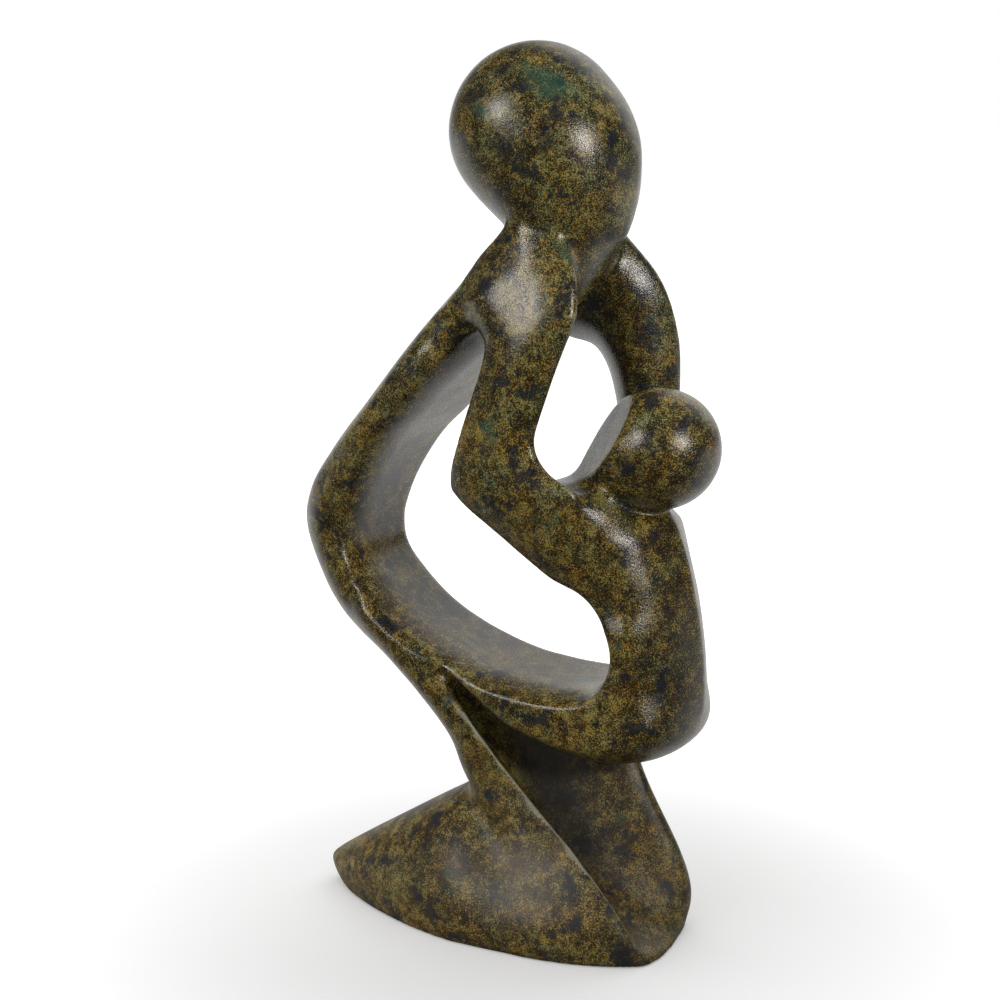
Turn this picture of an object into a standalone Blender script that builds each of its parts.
"""Mother and child: a kneeling figure with her child on her lap, carved from one piece of mottled serpentine.

The mother faces +X, z is up, and the origin is on the middle of the flat underside.  A carver saws such a
figure as a profile through a slab and then rounds it, and this script works the same way.  Each mass is an
outline drawn in the side view with its own width across, or an egg.  The masses are fields, negative inside
the stone, so they can be blended into each other as a rasp blends them.  The surface where the joined field is
zero becomes the mesh.
"""

import math

import bpy
import numpy as np

# Driving sizes, in metres
FIGURE_HEIGHT = 0.298
GRID_STEP = 0.0022
MOST_TRIANGLES = 8800

# Every outline, station, radius and fillet from here on is drawn in millimetres, on a figure about 298 high.

# The whole bow of the figure in the side view (x, z): nape, back, hips, lap, the child's front and shoulders.
BOW_OUTLINE = [(6, 248), (-6, 235.5), (-31.5, 208), (-53, 184), (-71, 164), (-83, 147), (-85, 130),
               (-71, 104), (-50, 90), (-21, 85), (6, 70.5), (38, 64), (58, 69.5), (66, 84), (64, 114),
               (55, 145), (43, 156), (45, 190), (34, 226), (18, 243)]
# The great opening inside it, which runs out between the arms above the child.
OPENING = [(-9, 200), (-25, 185), (-36, 173.5), (-46, 163.3), (-55, 148), (-59, 133), (-55.2, 120.5),
           (-36.5, 103.5), (-9.8, 92), (17, 88.5), (34.5, 91), (41, 102.5), (35, 117), (18, 134), (8, 146),
           (10, 154.5), (22, 157), (34, 156), (50, 152.5), (80, 150), (80, 238), (50, 243), (25, 239),
           (13, 225), (5, 213), (-1, 204.5)]
# Round the middle of the opening: degrees from +X, half the bow's width, how far its back is rounded in, and
# how wide the bevel along its rim is in the side view
MIDDLE_OF_OPENING = (-6, 135)
BOW_STATIONS = [(-180, 20, 19, 3.4), (-145, 21, 15, 3.2), (-115, 23, 12, 3.2), (-90, 24.5, 8, 3.2),
                (-60, 26, 9, 3.2), (-38, 25, 12, 3.2), (-12, 24.5, 10, 3.2), (20, 28, 11, 3.2),
                (50, 24, 9, 3.2), (84, 20, 12, 4), (110, 26, 12, 4.4), (140, 25, 14, 4.4), (180, 20, 19, 3.4)]
# How many times as deep as wide the bevel is on the near and the far side, and how round it meets the opening
BEVEL_DEPTH = (1.9, 1.0)
BEVEL_ROUND = (4.0, 1.5)
# How far the legs stay away from the opening
SEAT_CLEARANCE = 4.5
# The keel down the child's front: how far the front falls back for each millimetre to the side
KEEL_SLOPE = 0.27
# It comes in over these distances forward, up from the lap, and away again towards the neck.
KEEL_FORWARD = (35, 55)
KEEL_FOOT = (74, 95)
KEEL_NECK = (150, 165)

# The near arm reaches back to its elbow before it comes forward, and the far arm hangs straighter.
NEAR_ARM = [(5, 247), (12, 245), (19, 240.7), (25.2, 232.9), (30.3, 223.3), (31.7, 216), (31, 208.5),
            (21.5, 182), (18.8, 171), (23.8, 162.5), (35, 156), (40, 148), (42, 124), (43, 101), (37, 115),
            (8, 137), (-9, 150.5), (-12, 158), (-7.5, 174), (0.5, 200), (-7, 207), (-17, 207), (-23, 210),
            (-13, 222), (3, 238)]
FAR_ARM = [(8, 243), (23, 238), (36.5, 222), (41.5, 203), (42, 184), (40, 164), (43, 144), (46, 124),
           (46, 101), (38, 118), (20, 142), (17, 160), (19, 178), (12, 196), (-2, 201), (-14, 213), (-2, 236)]
# Height, and how far the arm's middle is from the figure's mid-plane
ARM_SPREAD = [(95, 17), (120, 18), (140, 21), (158, 25), (180, 25.5), (205, 24), (222, 19.5), (234, 15.5),
              (246, 13.5)]
# How far the outer and the inner face stand from that middle, at the arm's edge and at its crown
ARM_OUTER = (5.5, 9.5)
ARM_INNER = (-3.0, 8.0)
ARM_ROUNDING = 14.0
# How far the blade's back edge sinks into the shoulder, so that no edge shows there
SHOULDER_SINK = 7.0
SHOULDER_UP = (188, 204)
SHOULDER_FORWARD = (-17, 5)
# How far its front edge sinks into the child's side, over these distances forward and below these heights
WRIST_SINK = 3.0
WRIST_FORWARD = (20, 36)
WRIST_UP = (144, 158)
# How round the blade's edges are, and how round the front one becomes where it has sunk in
ARM_EDGE = 0.8
WRIST_EDGE = 12.0

# The thighs: side outline, and half-width at each height
THIGHS = [(-61, 105), (-48, 88.5), (-35, 76), (-25, 64), (-18, 50), (4, 20), (14, -14), (76, -14), (76, 70),
          (50, 92), (15, 96), (-12, 100), (-36, 110), (-54, 118)]
THIGH_WIDTH = [(-14, 31), (20, 27.5), (45, 22), (62, 21), (78, 23), (112, 24)]
THIGH_ROUNDING = 13.0
# From here forward the legs narrow towards the knees
NARROWING_FROM = 10.0
NARROWING = 0.0045
# The front of the legs at each height: how far forward the near ridge and the far knee come, and how deep the
# hollow between them is
LEG_FRONT = [(-14, 58, 50, -4), (2, 55, 54, -3), (10, 51.5, 57, 4), (28, 37.5, 56, 13), (41, 25.5, 51, 13),
             (50, 16, 46, 12), (76, -10.5, 31, 10), (90, -23, 20, 6), (112, -40, 4, 0)]
LEG_RIDGE_SIDE = -21.5
LEG_KNEE_SIDE = 18.0
# The front goes on past the ridge by this share of its width.
PAST_RIDGE = 0.2
# How round the ridge and the knee are
RIDGE_EDGE = 1.5
KNEE_EDGE = 9.0

FEET_CENTRE = (-10, 0, 8)
FEET_REACH = ((71, 66), (34.5, 34.5), (36, 40))
FEET_POWER = (1.4, 3.0)
# Behind the ankle the top of the feet comes down by this much for each millimetre further back.
ANKLE_BACK = -22.0
FEET_FALL = 0.28
# How much lower the calves lie under the thighs than at the ankles
CALF_DROP = 16.0
CALF_FORWARD = (-16, 16)

MOTHER_HEAD_CENTRE = (3.5, 0, 269.3)
MOTHER_HEAD_RADIUS = 28.7
# The place where the head's egg would run out to a point
MOTHER_HEAD_POINT = (35.7, 0, 236.4)
MOTHER_HEAD_TAPER = 2.7
# The throat, which runs down between her shoulders
THROAT_FORWARD = 12.0
THROAT_BELOW = 23.0
THROAT_TOP = (MOTHER_HEAD_CENTRE[0] + THROAT_FORWARD, 0, MOTHER_HEAD_CENTRE[2] - THROAT_BELOW)
THROAT_POINT = (18.5, 0, 213)
THROAT_RADIUS = 15.0
THROAT_TAPER = 2.5
THROAT_WIDTH = 1.45
THROAT_FILLET = 11.0
# The top of the mother's head, and so the height that the figure is drawn at
DRAWN_HEIGHT = MOTHER_HEAD_CENTRE[2] + MOTHER_HEAD_RADIUS
CHILD_HEAD_CENTRE = (50, -1, 168.7)
CHILD_HEAD_RADIUS = 19.6
CHILD_HEAD_POINT = (17.7, -1, 158.2)
CHILD_HEAD_TAPER = 2.7
# Two facets meet in a ridge behind the child's neck, towards the far side: a place on the ridge, the degrees
# that it rises and the facets slope, and how round their edges are
NECK_RIDGE = (22.3, 8.8, 174.5)
NECK_RISE = 57.0
NECK_FACET = 57.0
NECK_EDGE = 1.2

# Fillets where masses meet
CRISP = 2.5
MEDIUM = 5.0
SOFT = 8.0
# The arms' fillet is soft above the first heights and medium below the second.
SHOULDER_FILLET_UP = (188, 204)
ELBOW_FILLET_UP = (138, 152)
# The child's fillet is crisp from here forward.
CHILD_FILLET_FORWARD = (36, 52)
# The mother's head meets the shoulders crisply above these heights, and her throat the arms softly below.
THROAT_FILLET_UP = (226, 237)

# The block that the figure is carved from: its lowest and its highest corner
BLOCK = ((-92.7, -45.5, -12), (84, 44, DRAWN_HEIGHT + 10))
# The stone below the underside, which is sawn off flat
SAW_WASTE = 6.0


def closed_curve(points, steps=8):
    """A smooth closed line through the points (Catmull-Rom)."""
    here = np.array(points, float)[:, None, :]
    before, after, second = (np.roll(here, n, 0) for n in (1, -1, -2))
    t = np.linspace(0, 1, steps, endpoint=False)[None, :, None]
    line = 2 * here + (after - before) * t
    line = line + (2 * before - 5 * here + 4 * after - second) * t**2
    line = line + (3 * here - before - 3 * after + second) * t**3
    return 0.5 * line.reshape(-1, 2)


def depth_inside(points, u, v):
    """How deep each place (u, v) lies inside the closed curve through the points: negative outside it."""
    line = closed_curve(points)
    nearest = np.full(np.broadcast_shapes(u.shape, v.shape), np.inf)
    inside = np.zeros(nearest.shape, bool)
    for (u0, v0), (u1, v1) in zip(line, np.roll(line, -1, 0)):
        du, dv = u1 - u0, v1 - v0
        t = np.clip(((u - u0) * du + (v - v0) * dv) / (du * du + dv * dv), 0, 1)
        nearest = np.minimum(nearest, (u - u0 - t * du) ** 2 + (v - v0 - t * dv) ** 2)
        if v0 != v1:
            inside ^= ((v0 > v) != (v1 > v)) & (u < u0 + (v - v0) * du / dv)
    return np.where(inside, 1.0, -1.0) * np.sqrt(nearest)


def between_stations(stations, at, column):
    """The smooth value of one column of the stations at each place."""
    table = np.array(stations, float)
    x, y = table[:, 0], table[:, column]
    slope = np.gradient(y, x)
    at = np.clip(at, x[0], x[-1])
    i = np.clip(np.searchsorted(x, at, side="right") - 1, 0, len(x) - 2)
    h = x[i + 1] - x[i]
    t = (at - x[i]) / h
    start = (1 + 2 * t) * (1 - t) ** 2 * y[i] + t * (1 - t) ** 2 * h * slope[i]
    return start + t * t * (3 - 2 * t) * y[i + 1] + t * t * (t - 1) * h * slope[i + 1]


def ease(low, high, value):
    """Zero up to low, one from high on, and smooth between them."""
    t = np.clip((value - low) / (high - low), 0, 1)
    return t * t * (3 - 2 * t)


def joined(a, b, fillet):
    """Two masses as one, with a fillet where they meet."""
    h = np.clip(0.5 + 0.5 * (b - a) / fillet, 0, 1)
    return b * (1 - h) + a * h - fillet * h * (1 - h)


def trimmed(a, b, fillet):
    """What two masses have in common, with its edge rounded."""
    return -joined(-a, -b, fillet)


class Block:
    """The block of stone: a grid of places, and the ways to draw a mass in it."""

    def __init__(self, low, high, step):
        self.low = np.array(low, float)
        self.step = step
        self.counts = np.ceil((np.array(high) - self.low) / step).astype(int) + 1
        axes = [self.low[i] + step * np.arange(self.counts[i]) for i in range(3)]
        self.x, self.y, self.z = np.ix_(*axes)

    def true_distance(self, field):
        """The field divided by its slope, which is about the distance to its surface."""
        gx, gy, gz = np.gradient(np.broadcast_to(field, self.counts), self.step)
        return field / np.maximum(np.sqrt(gx**2 + gy**2 + gz**2), 0.3)

    def egg(self, centre, radius, tip, taper, width=1):
        """A ball of this radius drawn out to a point at its tip, and so many times as wide as it is deep."""
        axis = np.subtract(tip, centre)
        length = np.linalg.norm(axis)
        axis = axis / length
        dx, dy, dz = self.x - centre[0], (self.y - centre[1]) / width, self.z - centre[2]
        along = dx * axis[0] + dy * axis[1] + dz * axis[2]
        from_centre = np.sqrt(dx**2 + dy**2 + dz**2)
        across = np.sqrt(np.maximum(from_centre**2 - along**2, 0))
        point = across - radius * (1 - (np.maximum(along, 0) / length) ** taper)
        return self.true_distance(np.where(along > 0, point, from_centre - radius))


def bow(block, from_opening):
    """Back, hips, lap and the child's body: one band round the opening, flat within and rounded without."""
    x, y, z = block.x, block.y, block.z
    across = np.abs(y)
    angle = np.degrees(np.arctan2(z - MIDDLE_OF_OPENING[1], x - MIDDLE_OF_OPENING[0]))
    half = between_stations(BOW_STATIONS, angle, 1)
    rounding = between_stations(BOW_STATIONS, angle, 2)
    keel = KEEL_SLOPE * ease(*KEEL_FORWARD, x) * ease(*KEEL_FOOT, z) * (1 - ease(*KEEL_NECK, z))
    from_back = depth_inside(BOW_OUTLINE, x, z) - keel * across
    turn = np.maximum(rounding - from_back, 0) / rounding
    body = block.true_distance((np.sqrt(turn**2 + (across / half) ** 2) - 1) * rounding)
    depth = np.where(y < 0, *BEVEL_DEPTH)
    bevel = across - half + depth * (between_stations(BOW_STATIONS, angle, 3) - from_opening)
    bevel = trimmed(bevel / np.hypot(1, depth), -from_opening, np.where(y < 0, *BEVEL_ROUND))
    return np.maximum(body, bevel)


def arm(block, outline, side):
    """A blade with a swelling outer face and an edge all round."""
    depth = depth_inside(outline, block.x, block.z)
    middle = side * between_stations(ARM_SPREAD, block.z, 1)
    at_back = ease(*SHOULDER_UP, block.z) * (1 - ease(*SHOULDER_FORWARD, block.x))
    at_wrist = ease(*WRIST_FORWARD, block.x) * (1 - ease(*WRIST_UP, block.z))
    round_swell = 1 - (1 - np.clip(depth / ARM_ROUNDING, 0, 1)) ** 2
    swell = round_swell + (ease(0, 1.5 * ARM_ROUNDING, depth) - round_swell) * np.maximum(at_back, at_wrist)
    outwards = side * (block.y - middle)
    edge = ARM_OUTER[0] - SHOULDER_SINK * at_back - WRIST_SINK * at_wrist
    outer = outwards - edge - (ARM_OUTER[1] - edge) * swell
    inner = -outwards - ARM_INNER[0] - (ARM_INNER[1] - ARM_INNER[0]) * swell
    blade = np.maximum(block.true_distance(outer), block.true_distance(inner))
    return trimmed(blade, -depth, ARM_EDGE + (WRIST_EDGE - ARM_EDGE) * at_wrist)


def legs(block):
    """The kneeling legs: thighs over calves and feet, hollowed in front between near ridge and far knee."""
    x, y, z = block.x, block.y, block.z
    ridge, knee, hollow = (between_stations(LEG_FRONT, z, column) for column in (1, 2, 3))
    t = np.clip((y - LEG_RIDGE_SIDE) / (LEG_KNEE_SIDE - LEG_RIDGE_SIDE), -PAST_RIDGE, 1)
    sag = hollow * 27 / 4 * np.maximum(t, 0) * (1 - t) ** 2
    front = block.true_distance(x - ridge - (knee - ridge) * t + sag)

    from_back = depth_inside(THIGHS, x, z)
    half = between_stations(THIGH_WIDTH, z, 1) - NARROWING * np.maximum(x - NARROWING_FROM, 0) ** 2
    turn = np.maximum(THIGH_ROUNDING - from_back, 0) / THIGH_ROUNDING
    thighs = block.true_distance((np.sqrt(turn**2 + (y / half) ** 2) - 1) * THIGH_ROUNDING)

    offset = [q - c for q, c in zip((x, y, z), FEET_CENTRE)]
    dx, dy, dz = (np.abs(d) / np.where(d < 0, *reach) for d, reach in zip(offset, FEET_REACH))
    top = FEET_REACH[2][1] - CALF_DROP * ease(*CALF_FORWARD, x) - FEET_FALL * np.maximum(ANKLE_BACK - x, 0)
    dz = np.where(offset[2] > 0, offset[2] / top, dz)
    power = np.where(offset[0] < 0, *FEET_POWER)
    feet = (dx**power + (dy**2 + dz**2) ** (power / 2)) ** (1 / power) - 1
    feet = block.true_distance(feet * FEET_REACH[1][0])

    edge = np.where(y < 0, RIDGE_EDGE, KNEE_EDGE)
    return trimmed(joined(thighs, feet, SOFT), front, edge)


def neck_facets(block):
    """The stone under the two facets on the child's neck."""
    rise, slope = math.radians(NECK_RISE), math.radians(NECK_FACET)
    above = (block.z - NECK_RIDGE[2]) * math.cos(rise) - (block.x - NECK_RIDGE[0]) * math.sin(rise)
    return above * math.sin(slope) + np.abs(block.y - NECK_RIDGE[1]) * math.cos(slope)


def figure(block):
    """All the masses as one field."""
    from_opening = -depth_inside(OPENING, block.x, block.z)
    seat = np.maximum(legs(block), SEAT_CLEARANCE - from_opening)
    stone = joined(bow(block, from_opening), seat, MEDIUM)
    arms = np.minimum(arm(block, NEAR_ARM, -1), arm(block, FAR_ARM, 1))
    fillet = CRISP + (SOFT - CRISP) * ease(*SHOULDER_FILLET_UP, block.z)
    fillet = fillet + (MEDIUM - CRISP) * (1 - ease(*ELBOW_FILLET_UP, block.z))
    stone = joined(stone, arms, fillet)
    mother = block.egg(MOTHER_HEAD_CENTRE, MOTHER_HEAD_RADIUS, MOTHER_HEAD_POINT, MOTHER_HEAD_TAPER)
    throat = block.egg(THROAT_TOP, THROAT_RADIUS, THROAT_POINT, THROAT_TAPER, THROAT_WIDTH)
    mother = joined(mother, throat, THROAT_FILLET)
    child = block.egg(CHILD_HEAD_CENTRE, CHILD_HEAD_RADIUS, CHILD_HEAD_POINT, CHILD_HEAD_TAPER)
    child = trimmed(child, neck_facets(block), NECK_EDGE)
    stone = joined(stone, mother, MEDIUM - (MEDIUM - CRISP) * ease(*THROAT_FILLET_UP, block.z))
    stone = joined(stone, child, MEDIUM - (MEDIUM - CRISP) * ease(*CHILD_FILLET_FORWARD, block.x))
    return np.maximum(stone, -SAW_WASTE - block.z)


def sanded(field):
    """The field averaged lightly with its neighbours, as the last sanding eases every sharp edge."""
    for axis in range(3):
        pad = [(1, 1) if i == axis else (0, 0) for i in range(3)]
        wide = np.moveaxis(np.pad(field, pad, mode="edge"), axis, 0)
        field = np.moveaxis(0.25 * wide[:-2] + 0.5 * wide[1:-1] + 0.25 * wide[2:], 0, axis)
    return field


def skin(field, low, step):
    """The surface where the field is zero: points and four-sided faces, one point in each cell it crosses."""
    sums = np.zeros((field.size, 3))
    hits = np.zeros(field.size)
    faces = []
    for axis in range(3):
        ahead, side, up = np.roll(np.eye(3, dtype=int), axis, 0)
        start = field[tuple(slice(0, n - a) for n, a in zip(field.shape, ahead))]
        end = field[tuple(slice(a, n) for n, a in zip(field.shape, ahead))]
        at = np.argwhere((start < 0) != (end < 0))
        first, last = start[tuple(at.T)], end[tuple(at.T)]
        crossing = at + ahead * (first / (first - last))[:, None]
        around = [at, at - side, at - side - up, at - up]
        cells = np.stack([np.ravel_multi_index(tuple(c.T), field.shape) for c in around], 1)
        for column in cells.T:
            hits += np.bincount(column, minlength=field.size)
            for i in range(3):
                sums[:, i] += np.bincount(column, crossing[:, i], field.size)
        faces.append(np.where((first < 0)[:, None], cells, cells[:, ::-1]))
    used, faces = np.unique(np.concatenate(faces), return_inverse=True)
    return sums[used] / hits[used][:, None] * step + low, faces.reshape(-1, 4)


def serpentine():
    """Polished brown and green serpentine."""
    material = bpy.data.materials.new("mottled serpentine")
    material.use_nodes = True
    shader = material.node_tree.nodes["Principled BSDF"]
    shader.inputs["Base Color"].default_value = (0.075, 0.055, 0.018, 1)
    shader.inputs["Roughness"].default_value = 0.3
    shader.inputs["Metallic"].default_value = 0
    return material


def carve():
    """The figure as a mesh object, thinned by a Decimate modifier and sawn flat underneath."""
    block = Block(*BLOCK, GRID_STEP * DRAWN_HEIGHT / FIGURE_HEIGHT)
    points, faces = skin(sanded(figure(block)), block.low, block.step)
    mesh = bpy.data.meshes.new("mother_and_child")
    mesh.from_pydata((points * FIGURE_HEIGHT / DRAWN_HEIGHT).tolist(), [], faces.tolist())
    mesh.materials.append(serpentine())
    stone = bpy.data.objects.new("mother_and_child", mesh)
    bpy.context.scene.collection.objects.link(stone)
    mesh.shade_smooth()
    thin = stone.modifiers.new("thin out", "DECIMATE")
    thin.ratio = MOST_TRIANGLES / (2 * len(faces))
    return stone


def saw_flat(stone):
    """The underside, cut flat at z = 0 by a block that isn't part of the figure."""
    bpy.ops.mesh.primitive_cube_add(size=FIGURE_HEIGHT, location=(0, 0, -FIGURE_HEIGHT / 2))
    waste = bpy.context.object
    waste.name = "waste under the saw"
    waste.hide_render = True
    waste.display_type = "WIRE"
    saw = stone.modifiers.new("saw flat", "BOOLEAN")
    saw.operation = "DIFFERENCE"
    saw.object = waste


def main():
    for old in list(bpy.data.objects):
        bpy.data.objects.remove(old)
    saw_flat(carve())


main()
